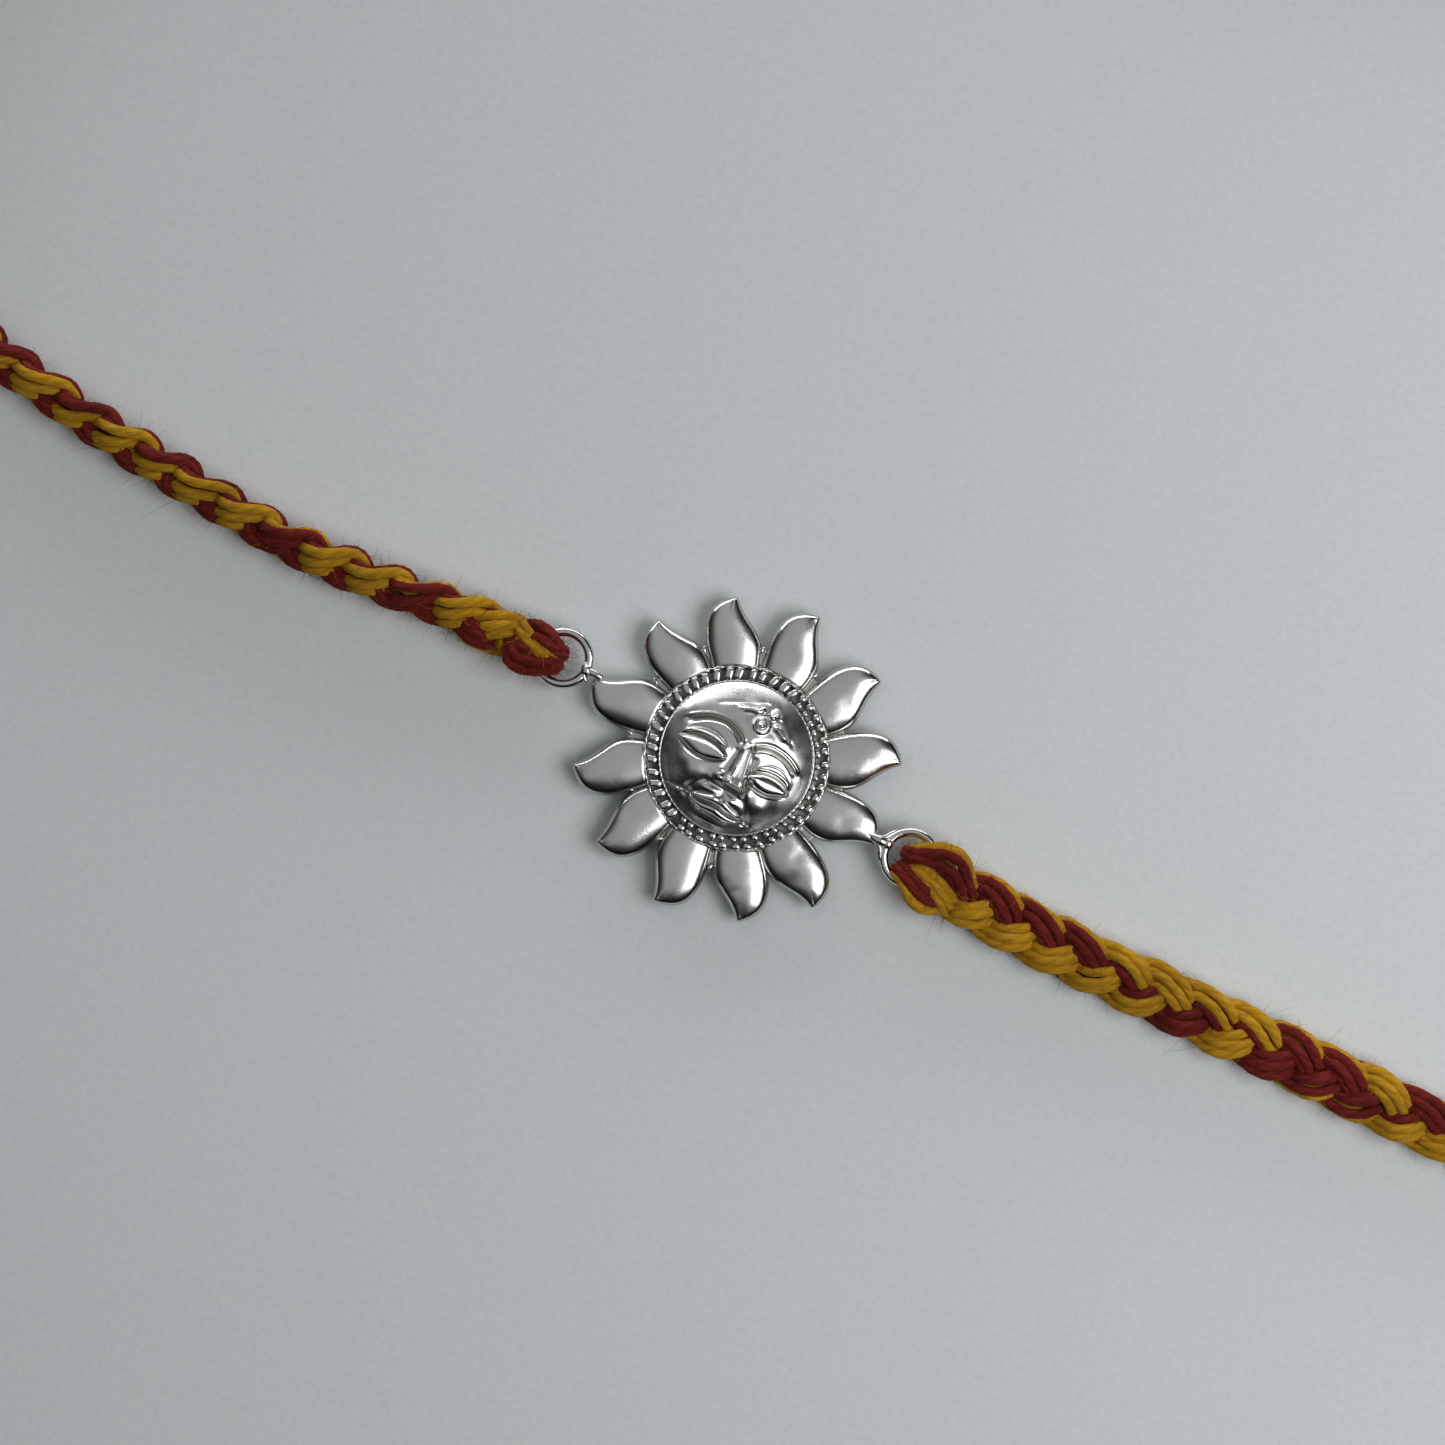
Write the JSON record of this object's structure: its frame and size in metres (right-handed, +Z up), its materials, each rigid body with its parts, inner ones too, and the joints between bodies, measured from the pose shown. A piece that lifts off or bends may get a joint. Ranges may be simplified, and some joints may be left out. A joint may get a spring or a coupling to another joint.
{
  "type": "rakhi thread bracelet",
  "caption": "Tie-on wrist band: a pressed silver sun with a calm face and beaded border, held by soldered rings between two plaited red and yellow cotton cords tied in a loop.",
  "frame": {"origin": "middle of the ground under the whole bracelet as it lies", "axes": "+X along the line through the sun's two rings, +Y from the sun towards the tie knot and towards the top of the face, +Z up from the ground"},
  "size_m": [0.1754, 0.1136, 0.0055],
  "materials": {
    "silver": "pressed sterling silver, satin faces with bright polished edges and darker hollows",
    "yellow_cotton": "soft dyed cotton yarn, twisted, matt with loose fibres",
    "red_cotton": "soft dyed cotton yarn, twisted, matt with loose fibres"
  },
  "bodies": {
    "root": {"sun_medallion": "silver", "left_strand_1": "yellow_cotton", "left_strand_2": "yellow_cotton", "left_strand_3": "yellow_cotton", "right_strand_1": "red_cotton", "right_strand_2": "red_cotton", "right_strand_3": "red_cotton", "tie_knot": "red_cotton"}
  },
  "joints": []
}
